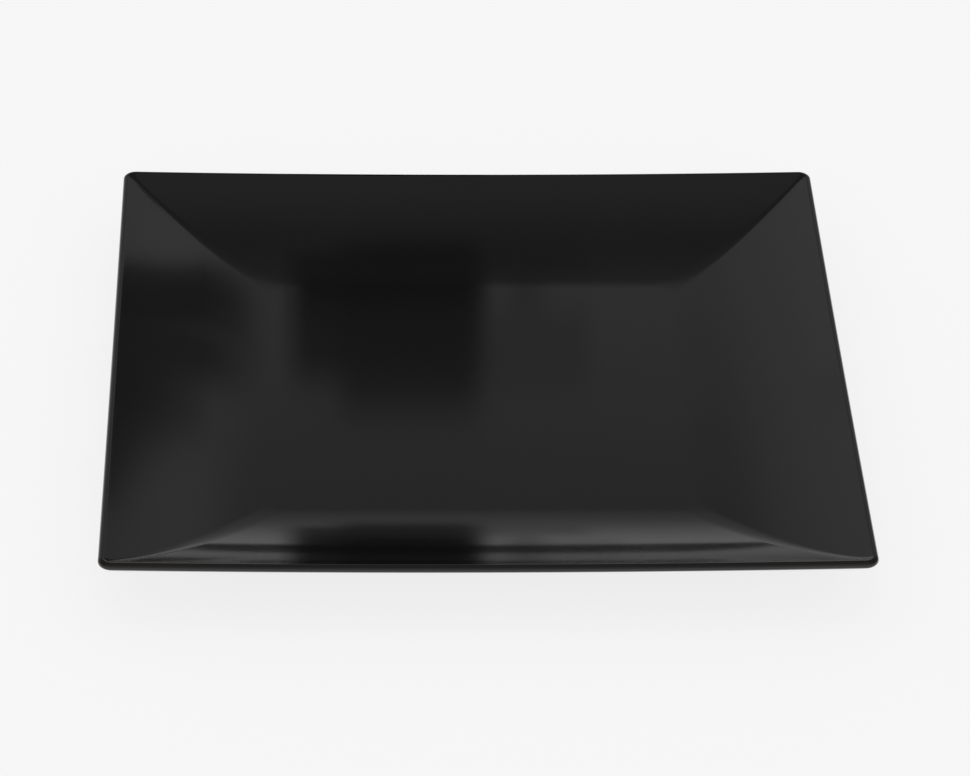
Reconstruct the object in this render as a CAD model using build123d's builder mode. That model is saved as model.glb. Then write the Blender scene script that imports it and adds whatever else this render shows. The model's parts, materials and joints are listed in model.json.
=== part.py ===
from build123d import *
import math
import os

# Square dinner plate: a pressed stoneware body under three coats of glaze.
# Millimetres, +Z up, origin on the standing face under the middle of the plate.
# Sections are drawn outwards from the plate's middle, with their second axis up.

# Plan
width = 260.0
corner_radius = 4.5
floor_width = 145.0

# Sides and rim, measured on the glazed surface
low_width = 27.0
low_slope = 17.0
rim_slope = 32.0
rim_round = 1.4
wall = 5.0

# Foot ring
foot_height = 2.5
foot_inset = 6.0
foot_band = 7.0
foot_corner = 22.0
foot_round = 0.8

# Glaze
glaze = 0.5
bare_band = 0.4


def on_circle(centre, radius, angle):
    """Point of a circle at an angle from straight down, positive towards the outer edge."""
    return centre + Vector(math.sin(angle), -math.cos(angle)) * radius


def arc(centre, radius, start, end):
    """Arc of a circle between two angles from straight down."""
    middle = (start + end) / 2
    ThreePointArc(*(on_circle(centre, radius, angle) for angle in (start, middle, end)))


# Places that follow from the sizes
half_width = width / 2
half_floor = floor_width / 2
seam = half_width - corner_radius
floor_level = foot_height + wall
clay_under_level = foot_height + glaze
foot_outer = half_floor - foot_inset
glaze_line = foot_round + bare_band

# Each side rises in two arcs, a tighter one out of the floor and a wider one up to the rim
low_end = math.radians(low_slope)
high_end = math.radians(rim_slope)
low_radius = low_width / math.sin(low_end)
low_centre = Vector(half_floor, floor_level + low_radius)
high_width = half_width - rim_round * (1 + math.sin(high_end)) - half_floor - low_width
high_radius = high_width / (math.sin(high_end) - math.sin(low_end))
high_centre = on_circle(low_centre, low_radius - high_radius, low_end)

# The rim is a full round at the end of the higher arc
rim_centre = on_circle(high_centre, high_radius + rim_round, high_end)
above_rim = rim_centre.Y + rim_round + wall

# The underside runs parallel to the lower arc, then thins the side along an arc that ends in the rim
back_start = on_circle(low_centre, low_radius + wall, low_end)
back_normal = Vector(-math.sin(low_end), math.cos(low_end))
reach = back_start - rim_centre
back_radius = (rim_round**2 - reach.dot(reach)) / (2 * (reach.dot(back_normal) + rim_round))
back_centre = back_start + back_normal * back_radius
back_end = math.atan2(rim_centre.X - back_centre.X, back_centre.Y - rim_centre.Y)


def face_arcs(skin):
    """Centre, radius, start and end of the two arcs of the eating face, skin below it."""
    low = (low_centre, low_radius + skin, 0, low_end)
    high = (high_centre, high_radius + skin, low_end, high_end)
    return low, high


def back_arcs(skin):
    """Centre, radius, start and end of the two arcs of the underside, skin above it."""
    low = (low_centre, low_radius + wall - skin, 0, low_end)
    high = (back_centre, back_radius - skin, low_end, back_end)
    return low, high


def space_above(low, high):
    """All that lies above two such arcs, within the seam, mitred on the diagonals."""
    centre, radius, start, _ = low
    curve_foot = on_circle(centre, radius, start)
    centre, radius, _, end = high
    rim_point = on_circle(centre, radius, end)
    with BuildPart() as space:
        for plane, mode in ((Plane.XZ, Mode.ADD), (Plane.YZ, Mode.INTERSECT)):
            with BuildSketch(plane):
                with BuildLine():
                    Line((0, curve_foot.Y), curve_foot)
                    arc(*low)
                    arc(*high)
                    Polyline(rim_point, (rim_point.X, above_rim), (0, above_rim))
                    mirror(about=Plane.YZ)
                make_face()
            extrude(amount=seam, both=True, mode=mode)
    return space.part


def rim_section(skin):
    """Section of the rim outside the seam, with its surface taken in by skin."""
    with BuildSketch() as section:
        with BuildLine():
            for curve in (*face_arcs(skin), *back_arcs(skin)):
                arc(*curve)
            arc(rim_centre, rim_round - skin, high_end + math.pi, back_end)
            Line((half_floor, foot_height + skin), (half_floor, floor_level - skin))
        make_face()
        with Locations((seam, 0)):
            Rectangle(half_width, above_rim, align=Align.MIN, mode=Mode.INTERSECT)
    return section.sketch_local


def rim_band(section):
    """A rim section carried along the four sides and turned round the four corners."""
    with BuildPart() as quarter:
        with BuildSketch(Plane.XZ):
            add(section)
        extrude(amount=seam, both=True)
        with BuildSketch(Plane.XZ.offset(-seam)):
            add(section)
        revolve(axis=Axis((seam, seam, 0), (0, 0, 1)), revolution_arc=90)
    with BuildPart() as band:
        for turn in range(4):
            add(quarter.part, rotation=(0, 0, 90 * turn))
    return band.part


def foot_prism(outset, bottom, top):
    """Upright block between two levels, outset from the outer flank of the foot ring."""
    with BuildPart() as block:
        with BuildSketch(Plane.XY.offset(bottom)):
            side = 2 * (foot_outer + outset)
            RectangleRounded(side, side, foot_corner + outset)
        extrude(amount=top - bottom)
    return block.part


# Spaces above the clay's own two surfaces and above the two glazed ones
above_face = space_above(*face_arcs(0))
above_clay_face = space_above(*face_arcs(glaze))
above_clay_back = space_above(*back_arcs(glaze))
above_back = space_above(*back_arcs(0))

# Sections of the rim: the clay, and the coat that wraps it, parted at the rim's outermost line
clay_rim = rim_section(glaze)
glazed_rim = rim_section(0)
with BuildSketch() as face_half:
    with BuildLine():
        mid_wall = rim_centre - Vector(1, math.tan(high_end)) * (rim_centre.X - seam)
        rim_out = (half_width, rim_centre.Y)
        Polyline(mid_wall, rim_centre, rim_out, (half_width, above_rim), (seam, above_rim), close=True)
    make_face()
with BuildSketch() as face_coat:
    add(glazed_rim)
    add(clay_rim, mode=Mode.SUBTRACT)
    add(face_half.sketch_local, mode=Mode.INTERSECT)
with BuildSketch() as back_coat:
    add(glazed_rim)
    add(clay_rim, mode=Mode.SUBTRACT)
    add(face_half.sketch_local, mode=Mode.SUBTRACT)
clay_band = rim_band(clay_rim)
face_band = rim_band(face_coat.sketch_local)
back_band = rim_band(back_coat.sketch_local)

# Blocks that bound the foot ring and the glaze on its two flanks
foot_block = foot_prism(0, 0, clay_under_level)
foot_bore = foot_prism(-foot_band, 0, clay_under_level)
foot_coated = foot_prism(glaze, glaze_line, clay_under_level)
recess_block = foot_prism(-foot_band, glaze_line, clay_under_level)
recess_space = foot_prism(-foot_band - glaze, 0, foot_height)

# Clay body: floor, four sides and round rim, on a bare foot ring
with BuildPart() as clay_body:
    add(foot_block)
    add(foot_bore, mode=Mode.SUBTRACT)
    fillet(clay_body.edges().group_by(Axis.Z)[0], foot_round)
    add(above_clay_back)
    add(above_clay_face, mode=Mode.SUBTRACT)
    add(clay_band)
clay_body.part.label = "clay_body"

# Glaze of the eating face, over the rim to its outermost line
with BuildPart() as face_glaze:
    add(above_clay_face)
    add(above_face, mode=Mode.SUBTRACT)
    add(face_band)
face_glaze.part.label = "face_glaze"

# Glaze under the sides, in to the foot ring and down its outer flank
with BuildPart() as back_glaze:
    add(above_back)
    add(foot_coated)
    add(above_clay_back, mode=Mode.SUBTRACT)
    add(foot_block, mode=Mode.SUBTRACT)
    add(back_band)
back_glaze.part.label = "back_glaze"

# Glaze inside the foot ring, with its turn down the inner flank
with BuildPart() as recess_glaze:
    add(recess_block)
    add(recess_space, mode=Mode.SUBTRACT)
recess_glaze.part.label = "recess_glaze"

os.makedirs("parts", exist_ok=True)
for piece in (clay_body, face_glaze, back_glaze, recess_glaze):
    export_step(piece.part, f"parts/{piece.part.label}.step")
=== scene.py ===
import bpy
import json
import math
import numpy as np
from mathutils import Matrix, Vector


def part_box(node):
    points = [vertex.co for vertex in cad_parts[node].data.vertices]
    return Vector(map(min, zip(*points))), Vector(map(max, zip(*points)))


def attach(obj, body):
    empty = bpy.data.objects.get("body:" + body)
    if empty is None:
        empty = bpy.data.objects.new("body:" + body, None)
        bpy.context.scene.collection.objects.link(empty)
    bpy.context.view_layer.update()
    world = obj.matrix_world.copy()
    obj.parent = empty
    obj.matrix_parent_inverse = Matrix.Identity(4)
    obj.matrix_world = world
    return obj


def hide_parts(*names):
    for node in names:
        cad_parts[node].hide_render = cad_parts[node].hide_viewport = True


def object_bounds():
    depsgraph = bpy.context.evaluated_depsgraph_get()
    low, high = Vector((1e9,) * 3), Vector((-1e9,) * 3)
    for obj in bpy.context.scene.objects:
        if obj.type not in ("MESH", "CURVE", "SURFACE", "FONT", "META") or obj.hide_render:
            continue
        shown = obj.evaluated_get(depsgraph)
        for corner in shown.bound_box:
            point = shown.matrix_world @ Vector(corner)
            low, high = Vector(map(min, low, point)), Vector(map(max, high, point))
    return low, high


# Square dinner plate: glossy black glaze over a stoneware body, standing on a pale studio floor.
# Metres, +Z up, origin on the standing face under the middle of the plate.
# A section point is (half-width, level): how far out from the middle it lies, and how high.

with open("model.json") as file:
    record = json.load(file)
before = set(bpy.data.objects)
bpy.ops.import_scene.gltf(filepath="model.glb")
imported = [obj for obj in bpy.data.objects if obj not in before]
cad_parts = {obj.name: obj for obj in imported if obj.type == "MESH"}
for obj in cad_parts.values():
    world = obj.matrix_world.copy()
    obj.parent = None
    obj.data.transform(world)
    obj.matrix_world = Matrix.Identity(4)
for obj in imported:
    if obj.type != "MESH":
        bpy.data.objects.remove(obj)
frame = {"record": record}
cad_low, cad_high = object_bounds()
_, clay_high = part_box("clay_body")
back_low, back_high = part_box("back_glaze")
_, recess_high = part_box("recess_glaze")
mounts = {mount["name"]: mount["pos_m"] for mount in frame["record"]["mounts"]}

# Sizes that the frame gives
HALF_WIDTH = cad_high.x
FLOOR_LEVEL = mounts["well_floor"][2]
GLAZE = HALF_WIDTH - clay_high.x
RIM_LEVEL = back_high.z
RIM_ROUND = cad_high.z - RIM_LEVEL
GLAZE_LINE = back_low.z
CLAY_UNDER = recess_high.z
UNDER_LEVEL = CLAY_UNDER - GLAZE
WALL = FLOOR_LEVEL - UNDER_LEVEL
FOOT_INNER = recess_high.x
FOOT_OUTER = 2 * mounts["foot"][0] - FOOT_INNER

# Sides and foot
HALF_FLOOR = 0.0725
LOW_WIDTH = 0.027
LOW_SLOPE = math.radians(17)
RIM_SLOPE = math.radians(32)
CORNER_RADIUS = 0.0045
FOOT_CORNER = 0.022
FOOT_ROUND = 0.0008

# What firing and glazing leave: soft creases, sides that sag between the corners, pooled glaze at the foot
CREASE_RADIUS = 0.0012
FLOOR_CORNER = 0.0045
RIDGE_RADIUS = 0.003
SAG = 0.0014
POOL_RADIUS = 0.0006

# Mesh fineness: half-width of the innermost ring, parts of a ring's sides and corners, steps of a section
MIDDLE_RING = 0.0005
SIDE_PARTS = 48
CORNER_PARTS = 12
FLOOR_STEPS = 24
ARC_STEPS = 28
RIM_STEPS = 18
RECESS_STEPS = 12
ROUND_STEPS = 8
FLANK_STEPS = 6
EDGE_STEPS = 6
COAT_STEPS = 2
CONTACT_STEPS = 3
SHARP_ANGLE = math.radians(40)

# Each side rises in two arcs, a tighter one out of the floor and a wider one up to the round rim
LOW_RADIUS = LOW_WIDTH / math.sin(LOW_SLOPE)
LOW_CENTRE = np.array((HALF_FLOOR, FLOOR_LEVEL + LOW_RADIUS))
HIGH_WIDTH = HALF_WIDTH - RIM_ROUND * (1 + math.sin(RIM_SLOPE)) - HALF_FLOOR - LOW_WIDTH
HIGH_RADIUS = HIGH_WIDTH / (math.sin(RIM_SLOPE) - math.sin(LOW_SLOPE))
RIM_CENTRE = np.array((HALF_WIDTH - RIM_ROUND, RIM_LEVEL))


def on_circle(centre, radius, angle):
    """Points of a circle at angles from straight down, positive towards the outer edge."""
    return centre + radius * np.stack((np.sin(angle), -np.cos(angle)), axis=-1)


HIGH_CENTRE = on_circle(LOW_CENTRE, LOW_RADIUS - HIGH_RADIUS, LOW_SLOPE)

# The underside runs parallel to the lower arc, then thins the side along an arc that ends in the rim
BACK_START = on_circle(LOW_CENTRE, LOW_RADIUS + WALL, LOW_SLOPE)
BACK_NORMAL = np.array((-math.sin(LOW_SLOPE), math.cos(LOW_SLOPE)))
REACH = BACK_START - RIM_CENTRE
BACK_RADIUS = (RIM_ROUND**2 - REACH @ REACH) / (2 * (REACH @ BACK_NORMAL + RIM_ROUND))
BACK_CENTRE = BACK_START + BACK_RADIUS * BACK_NORMAL
BACK_SLOPE = math.atan2(RIM_CENTRE[0] - BACK_CENTRE[0], BACK_CENTRE[1] - RIM_CENTRE[1])


def arc(centre, radius, start, end, steps):
    """Section points at even steps along an arc of a circle, without its last point."""
    return on_circle(centre, radius, np.linspace(start, end, steps, endpoint=False))


def run(start, end, steps):
    """Section points at even steps along a straight run, without its last point."""
    return np.linspace(start, end, steps, endpoint=False)


def face_section(skin):
    """Section from the middle over floor, side and rim to the outermost line, skin under the surface."""
    level = FLOOR_LEVEL - skin
    return np.vstack((
        run((MIDDLE_RING, level), (HALF_FLOOR, level), FLOOR_STEPS),
        arc(LOW_CENTRE, LOW_RADIUS + skin, 0, LOW_SLOPE, ARC_STEPS),
        arc(HIGH_CENTRE, HIGH_RADIUS + skin, LOW_SLOPE, RIM_SLOPE, ARC_STEPS),
        arc(RIM_CENTRE, RIM_ROUND - skin, RIM_SLOPE + math.pi, math.pi / 2, 2 * RIM_STEPS),
        [(HALF_WIDTH - skin, RIM_LEVEL)],
    ))


def back_section(skin):
    """Section from the outermost line round the rim and under the side, skin under the surface."""
    level = UNDER_LEVEL + skin
    return np.vstack((
        arc(RIM_CENTRE, RIM_ROUND - skin, math.pi / 2, BACK_SLOPE, RIM_STEPS),
        arc(BACK_CENTRE, BACK_RADIUS - skin, BACK_SLOPE, LOW_SLOPE, ARC_STEPS),
        arc(LOW_CENTRE, LOW_RADIUS + WALL - skin, LOW_SLOPE, 0, ARC_STEPS),
        run((HALF_FLOOR, level), (FOOT_OUTER + 2 * POOL_RADIUS, level), ROUND_STEPS),
    ))


def coat_round_foot(flank, outwards):
    """Section of a coat that turns down a flank of the foot, pools in the turn and ends in a round edge."""
    quarter = outwards * math.pi / 2
    skin = flank + outwards * GLAZE
    pool = np.array((skin + outwards * POOL_RADIUS, UNDER_LEVEL - POOL_RADIUS))
    end = np.array((flank, GLAZE_LINE + GLAZE))
    return np.vstack((
        arc(pool, POOL_RADIUS, math.pi, math.pi + quarter, ROUND_STEPS),
        run((skin, UNDER_LEVEL - POOL_RADIUS), (skin, GLAZE_LINE + GLAZE), COAT_STEPS),
        arc(end, GLAZE, quarter, 0, EDGE_STEPS),
        run((flank, GLAZE_LINE), (flank, CLAY_UNDER), CONTACT_STEPS),
    ))


def foot_section():
    """Section of the bare foot: down its outer flank, across the standing face and up the inner flank."""
    outer = np.array((FOOT_OUTER - FOOT_ROUND, FOOT_ROUND))
    inner = np.array((FOOT_INNER + FOOT_ROUND, FOOT_ROUND))
    return np.vstack((
        run((FOOT_OUTER, CLAY_UNDER), (FOOT_OUTER, FOOT_ROUND), FLANK_STEPS),
        arc(outer, FOOT_ROUND, math.pi / 2, 0, ROUND_STEPS),
        run((outer[0], 0), (inner[0], 0), ROUND_STEPS),
        arc(inner, FOOT_ROUND, 0, -math.pi / 2, ROUND_STEPS),
        run((FOOT_INNER, FOOT_ROUND), (FOOT_INNER, CLAY_UNDER), FLANK_STEPS),
    ))


def smooth_step(value, low, high):
    """0 below low, 1 above high and an eased rise between."""
    share = np.clip((value - low) / (high - low), 0, 1)
    return share * share * (3 - 2 * share)


def face_corner(section):
    """Corner radius of each ring of the face.

    At the rim it runs parallel to the outer corner. A soft maximum takes it over into the crease's own
    radius, which widens towards the floor.
    """
    inset = HALF_WIDTH - section[:, 0]
    crease = CREASE_RADIUS * np.logaddexp((CORNER_RADIUS - inset) / CREASE_RADIUS, 1)
    valley = FLOOR_CORNER * smooth_step(inset, 2 * RIM_ROUND, HALF_WIDTH - HALF_FLOOR)
    return np.minimum(crease + valley, section[:, 0] / 2)


def back_corner(section):
    """Corner radius of each ring of the back: outer corner, soft ridge, then the foot's rounded corner."""
    offset = CORNER_RADIUS - (HALF_WIDTH - section[:, 0])
    ridge = np.maximum(offset, RIDGE_RADIUS)
    foot = FOOT_CORNER + section[:, 0] - FOOT_OUTER
    to_foot = smooth_step(HALF_FLOOR - section[:, 0], 0, HALF_FLOOR - FOOT_OUTER - 2 * POOL_RADIUS)
    return ridge + (foot - ridge) * to_foot


def recess_corner(section):
    """Corner radius of each ring within the foot: the foot's inner corner, shrinking towards the middle."""
    inner = FOOT_CORNER - (FOOT_OUTER - FOOT_INNER)
    return section[:, 0] * inner / FOOT_INNER


def carry_round(name, section, corner, closed):
    """Solid of a section carried round the plate.

    Each section point runs round a square of its half-width whose corners are quarter circles, and dips
    between the corners by the sag, which grows with the square of the way out from the floor. Rings are
    joined by quads. The section is a loop, or else its two ends are closed in the middle of the plate.
    """
    half, level, radius = section[:, [0]], section[:, [1]], corner[:, None]
    inner = half - radius
    along = np.sin(np.linspace(-math.pi / 2, math.pi / 2, SIDE_PARTS, endpoint=False))
    turn = np.linspace(0, math.pi / 2, CORNER_PARTS, endpoint=False)
    x = np.hstack((half + 0 * along, inner + radius * np.cos(turn)))
    y = np.hstack((inner * along, inner + radius * np.sin(turn)))
    x, y = np.hstack((x, -y, -x, y)), np.hstack((y, x, -y, -x))
    way_out = np.clip((half - HALF_FLOOR) / (HALF_WIDTH - HALF_FLOOR), 0, None)
    z = level - SAG * way_out**2 * (1 - (x * y / half**2) ** 2)
    points = np.stack((x, y, z), axis=-1).reshape(-1, 3)
    ring = np.arange(x.size).reshape(x.shape)
    near, far = (ring, np.roll(ring, -1, axis=0)) if closed else (ring[:-1], ring[1:])
    quads = np.stack((near, far, np.roll(far, -1, axis=1), np.roll(near, -1, axis=1)), axis=-1)
    faces = quads.reshape(-1, 4).tolist()
    if not closed:
        ends = np.array([(0, 0, section[0, 1]), (0, 0, section[-1, 1])])
        first, last = len(points), len(points) + 1
        points = np.vstack((points, ends))
        start, finish = ring[0], ring[-1]
        faces += np.stack((np.full_like(start, first), start, np.roll(start, -1)), axis=-1).tolist()
        faces += np.stack((finish, np.full_like(finish, last), np.roll(finish, -1)), axis=-1).tolist()
    mesh = bpy.data.meshes.new(name)
    mesh.from_pydata(points.tolist(), [], faces)
    mesh.shade_smooth()
    mesh.set_sharp_from_angle(angle=SHARP_ANGLE)
    piece = bpy.data.objects.new(name, mesh)
    bpy.context.scene.collection.objects.link(piece)
    return piece


class Wire:
    """A node tree and one output socket in it. Arithmetic on wires adds Math nodes to the tree."""

    def __init__(self, tree, socket=None):
        self.tree = tree
        self.socket = socket

    def node(self, kind, settings=None, inputs=None, output=0):
        """Adds a node, sets its settings and then its sockets' values or links, and gives one output."""
        node = self.tree.nodes.new(kind)
        for name, value in (settings or {}).items():
            setattr(node, name, value)
        for name, value in (inputs or {}).items():
            if isinstance(value, Wire):
                self.tree.links.new(value.socket, node.inputs[name])
            else:
                node.inputs[name].default_value = value
        return Wire(self.tree, node.outputs[output]) if node.outputs else node

    def math(self, operation, *values):
        return self.node("ShaderNodeMath", {"operation": operation}, dict(enumerate(values)))

    def ease(self, low, high):
        """0 below low, 1 above high and an eased rise between. High may lie below low."""
        inputs = {"Value": self, "From Min": low, "From Max": high}
        return self.node("ShaderNodeMapRange", {"interpolation_type": "SMOOTHSTEP"}, inputs)

    def blend(self, first, second):
        """Colour that goes from the first to the second as this value goes from 0 to 1."""
        inputs = {"Factor": self, 6: first, 7: second}
        return self.node("ShaderNodeMix", {"data_type": "RGBA"}, inputs, output=2)

    def axes(self, coordinates):
        """The three parts of a texture coordinate."""
        place = self.node("ShaderNodeTexCoord", output=coordinates)
        parts = self.node("ShaderNodeSeparateXYZ", None, {0: place})
        return [Wire(self.tree, parts.socket.node.outputs[axis]) for axis in "XYZ"]

    def __add__(self, other):
        return self.math("ADD", self, other)

    def __rsub__(self, other):
        return self.math("SUBTRACT", other, self)

    def __mul__(self, other):
        return self.math("MULTIPLY", self, other)

    def __abs__(self):
        return self.math("ABSOLUTE", self)

    __radd__ = __add__
    __rmul__ = __mul__


# Glaze: its two tones where it is thick, its colour where it is thin, its gloss and its faint orange peel
GLAZE_DARK = (0.0092, 0.0092, 0.0098, 1)
GLAZE_LIGHT = (0.0136, 0.0133, 0.0130, 1)
GLAZE_THIN = (0.035, 0.020, 0.011, 1)
GLAZE_ROUGHNESS = 0.07
GLAZE_UNEVEN = 0.05
GLAZE_IOR = 1.5
BROAD_SIZE = 0.045
FINE_SIZE = 0.004
PEEL_SIZE = 0.0035
PEEL_DEPTH = 0.000004

# Thin glaze on the rim: how far inside the edge it starts and is full, how far below and above the rim's
# middle it starts and is full, and how much it shows there at least, with more where the fine noise is high
RIM_THIN_START = 0.003
RIM_THIN_FULL = 0.0008
RIM_THIN_BELOW = 0.001
RIM_THIN_ABOVE = 0.002
RIM_THIN_LEAST = 0.2
RIM_THIN_MORE = 0.25

# Thin glaze where it ends at the foot: height of the band, and how much it shows there at least, and more
END_THIN_BAND = 0.0006
END_THIN_LEAST = 0.5
END_THIN_MORE = 0.5

# Bare clay: two tones, dark specks that come in clusters, and a sandy grain
CLAY_DARK = (0.30, 0.245, 0.19, 1)
CLAY_LIGHT = (0.42, 0.355, 0.285, 1)
MOTTLE_SIZE = 0.012
SPECK_COLOUR = (0.07, 0.05, 0.04, 1)
SPECK_COVER = 0.75
SPECK_SPACING = 0.0022
SPECK_EDGE = (0.16, 0.10)
CLUSTER_SIZE = 0.004
CLUSTER_EDGE = (0.45, 0.6)
CLAY_ROUGHNESS = 0.78
GRAIN_ROUGHNESS = 0.15
GRAIN_SIZE = 0.0006
GRAIN_DEPTH = 0.00006
GRAIN_STRENGTH = 0.6


def grey(tone):
    """A neutral colour."""
    return (tone, tone, tone, 1)


def new_material(name):
    """An empty material and a wire into its tree."""
    material = bpy.data.materials.new(name)
    material.use_nodes = True
    material.node_tree.nodes.clear()
    return material, Wire(material.node_tree)


def noise(wire, place, size, detail=2.0):
    """Soft noise from 0 to 1 whose lumps are about size across."""
    inputs = {"Vector": place, "Scale": 1 / size, "Detail": detail}
    return wire.node("ShaderNodeTexNoise", None, inputs)


def black_glaze():
    """Glossy black glaze, faintly uneven, that thins to brown where it ends and on the rim."""
    material, wire = new_material("black_glaze")
    place = wire.node("ShaderNodeTexCoord", output="Object")
    x, y, z = wire.axes("Object")
    half = wire.math("MAXIMUM", abs(x), abs(y))
    broad = noise(wire, place, BROAD_SIZE)
    fine = noise(wire, place, FINE_SIZE, detail=4.0)
    near_edge = half.ease(HALF_WIDTH - RIM_THIN_START, HALF_WIDTH - RIM_THIN_FULL)
    on_rim = near_edge * z.ease(RIM_LEVEL - RIM_THIN_BELOW, RIM_LEVEL + RIM_THIN_ABOVE)
    at_end = z.ease(GLAZE_LINE + END_THIN_BAND, GLAZE_LINE)
    rim_thin = on_rim * (RIM_THIN_LEAST + RIM_THIN_MORE * fine)
    end_thin = at_end * (END_THIN_LEAST + END_THIN_MORE * fine)
    thin = wire.math("MAXIMUM", rim_thin, end_thin)
    colour = thin.blend(broad.blend(GLAZE_DARK, GLAZE_LIGHT), GLAZE_THIN)
    roughness = GLAZE_ROUGHNESS + GLAZE_UNEVEN * broad + GLAZE_UNEVEN * fine
    peel = noise(wire, place, PEEL_SIZE, detail=1.0)
    bump = {"Height": peel, "Strength": 1.0, "Distance": PEEL_DEPTH}
    wire.node("ShaderNodeOutputMaterial", None, {
        "Surface": wire.node("ShaderNodeBsdfPrincipled", None, {
            "Base Color": colour,
            "Roughness": roughness,
            "IOR": GLAZE_IOR,
            "Normal": wire.node("ShaderNodeBump", None, bump),
        }),
    })
    return material


def bare_stoneware():
    """Dry fired clay: warm buff, mottled, with small dark specks and a sandy grain."""
    material, wire = new_material("bare_stoneware")
    place = wire.node("ShaderNodeTexCoord", output="Object")
    mottle = noise(wire, place, MOTTLE_SIZE, detail=5.0)
    grain = noise(wire, place, GRAIN_SIZE, detail=3.0)
    cells = wire.node("ShaderNodeTexVoronoi", None, {"Vector": place, "Scale": 1 / SPECK_SPACING})
    speck = cells.ease(*SPECK_EDGE) * noise(wire, place, CLUSTER_SIZE).ease(*CLUSTER_EDGE)
    colour = (SPECK_COVER * speck).blend(mottle.blend(CLAY_DARK, CLAY_LIGHT), SPECK_COLOUR)
    bump = {"Height": grain, "Strength": GRAIN_STRENGTH, "Distance": GRAIN_DEPTH}
    wire.node("ShaderNodeOutputMaterial", None, {
        "Surface": wire.node("ShaderNodeBsdfPrincipled", None, {
            "Base Color": colour,
            "Roughness": CLAY_ROUGHNESS + GRAIN_ROUGHNESS * grain,
            "Normal": wire.node("ShaderNodeBump", None, bump),
        }),
    })
    return material


# The plate's four pieces
glazed_face = face_section(0)
clay_face = face_section(GLAZE)
glazed_back = back_section(0)
clay_back = back_section(GLAZE)
outer_turn = coat_round_foot(FOOT_OUTER, 1)
inner_turn = coat_round_foot(FOOT_INNER, -1)
recess_end = np.array([(MIDDLE_RING, UNDER_LEVEL)])
middle_clay = np.array([(MIDDLE_RING, CLAY_UNDER)])
recess_floor = run((FOOT_INNER - GLAZE - POOL_RADIUS, UNDER_LEVEL), recess_end[0], RECESS_STEPS)
clay_recess = np.vstack((run((FOOT_INNER, CLAY_UNDER), middle_clay[0], RECESS_STEPS), middle_clay))

glaze_material = black_glaze()
clay_material = bare_stoneware()

face_piece = carry_round(
    "eating_face_glaze",
    np.vstack((glazed_face, clay_face[::-1])),
    np.hstack((face_corner(glazed_face), face_corner(clay_face[::-1]))),
    closed=False,
)
back_loop = np.vstack((glazed_back, outer_turn, clay_back[::-1]))
back_piece = carry_round("underside_glaze", back_loop, back_corner(back_loop), closed=True)
recess_loop = np.vstack((clay_recess[::-1], inner_turn[::-1], recess_floor, recess_end))
recess_piece = carry_round("foot_recess_glaze", recess_loop, recess_corner(recess_loop), closed=False)
clay_top = clay_face[:-1]
clay_below = np.vstack((clay_back, foot_section()))
body_piece = carry_round(
    "stoneware_body",
    np.vstack((clay_top, clay_below, clay_recess)),
    np.hstack((face_corner(clay_top), back_corner(clay_below), recess_corner(clay_recess))),
    closed=False,
)

for piece, node, slot, material in (
    (face_piece, "face_glaze", "black_glaze", glaze_material),
    (back_piece, "back_glaze", "black_glaze", glaze_material),
    (recess_piece, "recess_glaze", "black_glaze", glaze_material),
    (body_piece, "clay_body", "stoneware", clay_material),
):
    piece.data.materials.append(material)
    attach(piece, "root")
    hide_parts(node)


# Studio floor and backdrop
FLOOR_REACH = 40.0
FLOOR_GAP = 0.00005
FLOOR_TONE = 0.4
FLOOR_GLOW = 0.803
PALE = 0.92

# Dark cards: where each one starts, its width and its height
BACK_CARD_X = -0.08
BACK_CARD_Y = 0.152
BACK_CARD_WIDTH = 0.15
BACK_CARD_HEIGHT = 0.13
SIDE_CARD_X = -0.07
SIDE_CARD_Y = 0.132
SIDE_CARD_WIDTH = 0.058
SIDE_CARD_HEIGHT = 0.095

# Grey of the cards: tones at the foot and higher up, and the levels between which one goes into the other
FOOT_TONE = 0.010
HIGH_TONE = 0.060
TONE_RISE = (0.040, 0.080)

# Soft patches of the cards: start, end, bottom, top and how much of the light behind it each one hides.
# SUNK lies below the floor, for patches that reach down to it.
SIDE_FADE = 0.007
TOP_FADE = 0.013
SUNK = -0.03
BACK_CARD_PATCHES = (
    (-0.067, 0.007, SUNK, 0.098, 0.93),
    (-0.061, 0.007, SUNK, 0.066, 0.35),
    (-0.048, 0.007, SUNK, 0.114, 0.75),
    (0.007, 0.050, 0.065, 0.100, 0.28),
    (0.019, 0.031, SUNK, 0.068, 0.35),
    (0.010, 0.062, SUNK, 0.048, 0.20),
)
SIDE_CARD_PATCHES = ((0.139, 0.179, SUNK, 0.078, 0.92),)

# Strength of the room's light: everywhere, low behind the plate, at the heart of that, overhead, in front
ROOM_LIGHT = 0.148
LOW_LIGHT = 0.19
HEART_LIGHT = 0.25
ZENITH_LIGHT = 0.165
FRONT_LIGHT = 0.32

# Where each of these lights fades in, in degrees from none of it to all of it
LOW_RISE = (38.5, 29)
LOW_RIGHT = (38, 18)
LOW_LEFT = (-80, -50)
HEART_RISE = (30, 13)
HEART_SWING = (36, 6)
ZENITH_RISE = (60, 92)
FRONT_RISE = (70, 25)
FRONT_SWING = (110, 150)

# Lamp overhead
LAMP_STRENGTH = 0.25
LAMP_SPREAD = math.radians(120)


def flat_sheet(name, corner, across, up, material):
    """A flat four-cornered sheet: every sum of a corner with shares 0 and 1 of two edges."""
    shares = np.array([(0, 0), (1, 0), (1, 1), (0, 1)])
    points = np.array(corner) + shares @ np.array((across, up))
    mesh = bpy.data.meshes.new(name)
    mesh.from_pydata(points.tolist(), [], [(0, 1, 2, 3)])
    mesh.materials.append(material)
    sheet = bpy.data.objects.new(name, mesh)
    bpy.context.scene.collection.objects.link(sheet)
    return sheet


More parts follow.
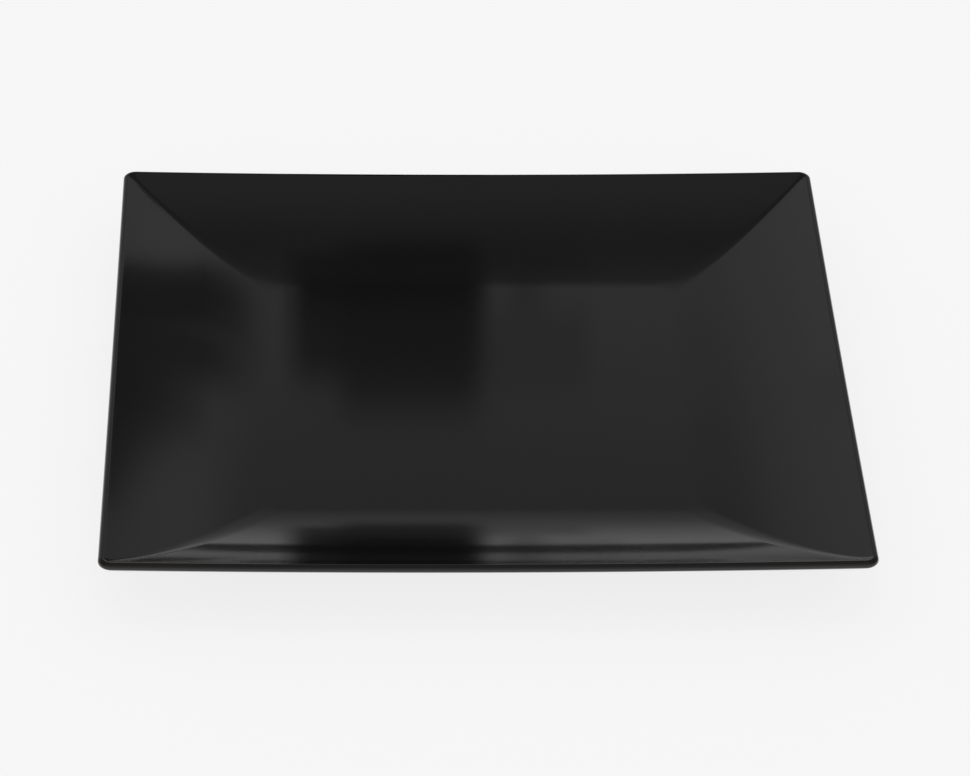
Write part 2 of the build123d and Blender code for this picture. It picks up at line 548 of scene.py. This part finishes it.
def pale_floor():
    """Matt pale paper, lit mostly by its own glow, so that it stays even and shadows on it are faint."""
    material, wire = new_material("pale_floor")
    shader = wire.node("ShaderNodeBsdfPrincipled", None, {
        "Base Color": grey(FLOOR_TONE),
        "Roughness": 1.0,
        "Specular IOR Level": 0.0,
        "Emission Color": grey(1),
        "Emission Strength": FLOOR_GLOW,
    })
    wire.node("ShaderNodeOutputMaterial", None, {"Surface": shader})
    return material


def soft_dark(name, axis, patches):
    """Dark grey, darkest at its foot, in soft-edged patches that lie along an axis."""
    material, wire = new_material(name)
    place = wire.axes("Object")
    along, up = place[axis], place[2]
    clear = 1
    for start, end, bottom, top, cover in patches:
        across = along.ease(start - SIDE_FADE, start + SIDE_FADE)
        across = across * along.ease(end + SIDE_FADE, end - SIDE_FADE)
        upright = up.ease(bottom - TOP_FADE, bottom + TOP_FADE)
        upright = upright * up.ease(top + TOP_FADE, top - TOP_FADE)
        clear = clear * (1 - cover * across * upright)
    shader = wire.node("ShaderNodeBsdfPrincipled", None, {
        "Base Color": grey(0),
        "Roughness": 1.0,
        "Specular IOR Level": 0.0,
        "Emission Color": up.ease(*TONE_RISE).blend(grey(FOOT_TONE), grey(HIGH_TONE)),
        "Emission Strength": 1.0,
        "Alpha": 1 - clear,
    })
    wire.node("ShaderNodeOutputMaterial", None, {"Surface": shader})
    return material


def mirrored_only(card):
    """Leaves a card visible only in what mirrors it."""
    card.visible_camera = False
    card.visible_diffuse = False
    card.visible_shadow = False


def dark_cards():
    """A card behind the plate, and one on edge to the camera that only the left side mirrors."""
    back_card = flat_sheet(
        "back_card",
        (BACK_CARD_X, BACK_CARD_Y, 0),
        (BACK_CARD_WIDTH, 0, 0),
        (0, 0, BACK_CARD_HEIGHT),
        soft_dark("back_card", 0, BACK_CARD_PATCHES),
    )
    side_card = flat_sheet(
        "side_card",
        (SIDE_CARD_X, SIDE_CARD_Y, 0),
        (0, SIDE_CARD_WIDTH, 0),
        (0, 0, SIDE_CARD_HEIGHT),
        soft_dark("side_card", 1, SIDE_CARD_PATCHES),
    )
    mirrored_only(back_card)
    mirrored_only(side_card)


flat_sheet(
    "studio_floor",
    (-FLOOR_REACH, -FLOOR_REACH, -FLOOR_GAP),
    (2 * FLOOR_REACH, 0, 0),
    (0, 2 * FLOOR_REACH, 0),
    pale_floor(),
)
dark_cards()


def studio_world():
    """Soft room light by direction, brightest low behind the plate, and plain pale to the camera itself.

    Directions are in degrees: rise above the level, and swing to the right of straight back.
    """
    world = bpy.data.worlds.new("studio")
    world.use_nodes = True
    world.node_tree.nodes.clear()
    bpy.context.scene.world = world
    wire = Wire(world.node_tree)
    x, y, z = wire.axes("Generated")
    degrees = 180 / math.pi
    rise = wire.math("ARCSINE", z) * degrees
    swing = wire.math("ARCTAN2", x, y) * degrees
    low_back = rise.ease(*LOW_RISE) * swing.ease(*LOW_RIGHT) * swing.ease(*LOW_LEFT)
    heart = rise.ease(*HEART_RISE) * abs(swing).ease(*HEART_SWING)
    zenith = rise.ease(*ZENITH_RISE)
    front = rise.ease(*FRONT_RISE) * abs(swing).ease(*FRONT_SWING)
    light = ROOM_LIGHT + LOW_LIGHT * low_back + HEART_LIGHT * heart
    light = light + ZENITH_LIGHT * zenith + FRONT_LIGHT * front
    room = wire.node("ShaderNodeBackground", None, {"Color": grey(1), "Strength": light})
    pale = wire.node("ShaderNodeBackground", None, {"Color": grey(PALE), "Strength": 1.0})
    seen = wire.node("ShaderNodeLightPath", output="Is Camera Ray")
    both = wire.node("ShaderNodeMixShader", None, {0: seen, 1: room, 2: pale})
    wire.node("ShaderNodeOutputWorld", None, {"Surface": both})


def overhead_light():
    """A very wide soft light from above that lights the floor evenly and makes no glint in the glaze."""
    light = bpy.data.lights.new("overhead", "SUN")
    light.energy = LAMP_STRENGTH
    light.angle = LAMP_SPREAD
    lamp = bpy.data.objects.new("overhead", light)
    lamp.visible_glossy = False
    bpy.context.scene.collection.objects.link(lamp)


# The camera looks down on the plate from in front, at the photograph's angle
CAMERA_AIM = Vector((0.00283, 0.00200, 0.00897))
CAMERA_RISE = math.radians(32.8)
CAMERA_TURN = math.radians(-2.509)
CAMERA_ROLL = math.radians(1.288)
CAMERA_DISTANCE = 1.6464
CAMERA_LENS = 170.88
CAMERA_SENSOR = 36.0


def photo_camera():
    """A long lens at the camera's distance along its line of sight, turned by its small roll."""
    level = math.cos(CAMERA_RISE)
    back = Vector((math.sin(CAMERA_TURN) * level, -math.cos(CAMERA_TURN) * level, math.sin(CAMERA_RISE)))
    right = Vector((math.cos(CAMERA_TURN), math.sin(CAMERA_TURN), 0))
    axes = Matrix((right, back.cross(right), back)).transposed()
    data = bpy.data.cameras.new("photo_camera")
    data.sensor_width = CAMERA_SENSOR
    data.lens = CAMERA_LENS
    camera = bpy.data.objects.new("photo_camera", data)
    place = Matrix.Translation(CAMERA_AIM + CAMERA_DISTANCE * back)
    camera.matrix_world = place @ axes.to_4x4() @ Matrix.Rotation(CAMERA_ROLL, 4, "Z")
    bpy.context.scene.collection.objects.link(camera)
    bpy.context.scene.camera = camera


studio_world()
overhead_light()
photo_camera()
bpy.context.scene.view_settings.view_transform = "Standard"
